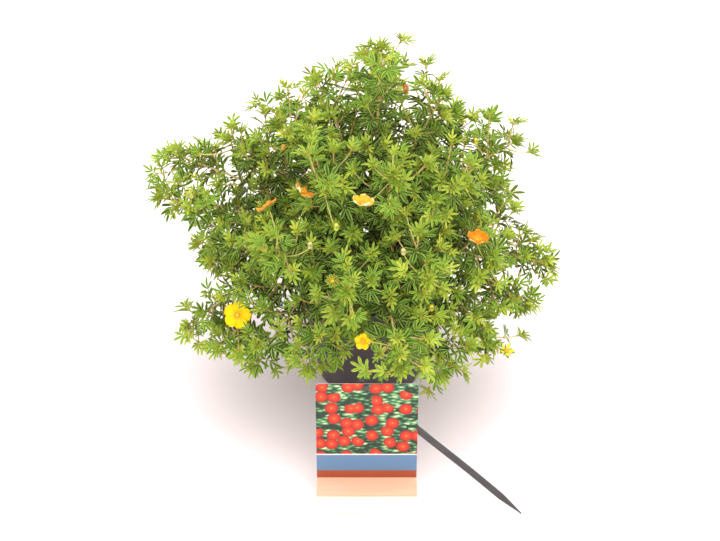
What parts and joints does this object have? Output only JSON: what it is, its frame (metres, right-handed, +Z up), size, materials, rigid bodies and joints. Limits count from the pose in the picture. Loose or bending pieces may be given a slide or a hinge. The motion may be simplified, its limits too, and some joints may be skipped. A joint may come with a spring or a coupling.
{
  "type": "potted red ace shrubby cinquefoil",
  "caption": "Bushy flowering cinquefoil shrub in a round dark nursery pot, with fine five-part leaves, yellow and orange flowers and a plant label standing in front.",
  "frame": {"origin": "centre of the pot's flat base, on the surface it stands on", "axes": "+Z up, -Y towards the label and the viewer, +X to the viewer's right"},
  "size_m": [0.4867, 0.4968, 0.453],
  "materials": {
    "pot_plastic": "matt moulded, very dark brown-grey",
    "soil": "crumbly dark peat compost",
    "foliage": "soft matt leaves, mid green with yellow-green shoot tips and tan stems",
    "petals_yellow": "satin petals, bright yellow",
    "petals_orange": "satin petals, orange",
    "label_print": "satin printed card",
    "block_wood": "planed pale softwood, unvarnished",
    "stake_plastic": "matt dark grey moulded plastic"
  },
  "bodies": {
    "root": {"pot": "pot_plastic", "potting_soil": "soil", "leafy_stem_01": "foliage", "leafy_stem_02": "foliage", "leafy_stem_03": "foliage", "leafy_stem_04": "foliage", "leafy_stem_05": "foliage", "leafy_stem_06": "foliage", "leafy_stem_07": "foliage", "leafy_stem_08": "foliage", "leafy_stem_09": "foliage", "leafy_stem_10": "foliage", "leafy_stem_11": "foliage", "leafy_stem_12": "foliage", "leafy_stem_13": "foliage", "leafy_stem_14": "foliage", "leafy_stem_15": "foliage", "leafy_stem_16": "foliage", "leafy_stem_17": "foliage", "leafy_stem_18": "foliage", "leafy_stem_19": "foliage", "leafy_stem_20": "foliage", "leafy_stem_21": "foliage", "leafy_stem_22": "foliage", "leafy_stem_23": "foliage", "leafy_stem_24": "foliage", "leafy_stem_25": "foliage", "leafy_stem_26": "foliage", "leafy_stem_27": "foliage", "leafy_stem_28": "foliage", "leafy_stem_29": "foliage", "leafy_stem_30": "foliage", "leafy_stem_31": "foliage", "leafy_stem_32": "foliage", "leafy_stem_33": "foliage", "leafy_stem_34": "foliage", "leafy_stem_35": "foliage", "leafy_stem_36": "foliage", "leafy_stem_37": "foliage", "bloom_yellow_open": "petals_yellow", "bloom_cream_orange": "petals_yellow", "bloom_orange_cream": "petals_orange", "bloom_orange_edge": "petals_orange", "bloom_orange_red": "petals_orange", "bloom_golden": "petals_yellow", "bloom_small_star": "petals_yellow", "bloom_half_open": "petals_yellow", "label_card": "label_print", "label_block": "block_wood", "label_stake": "stake_plastic"}
  },
  "joints": []
}
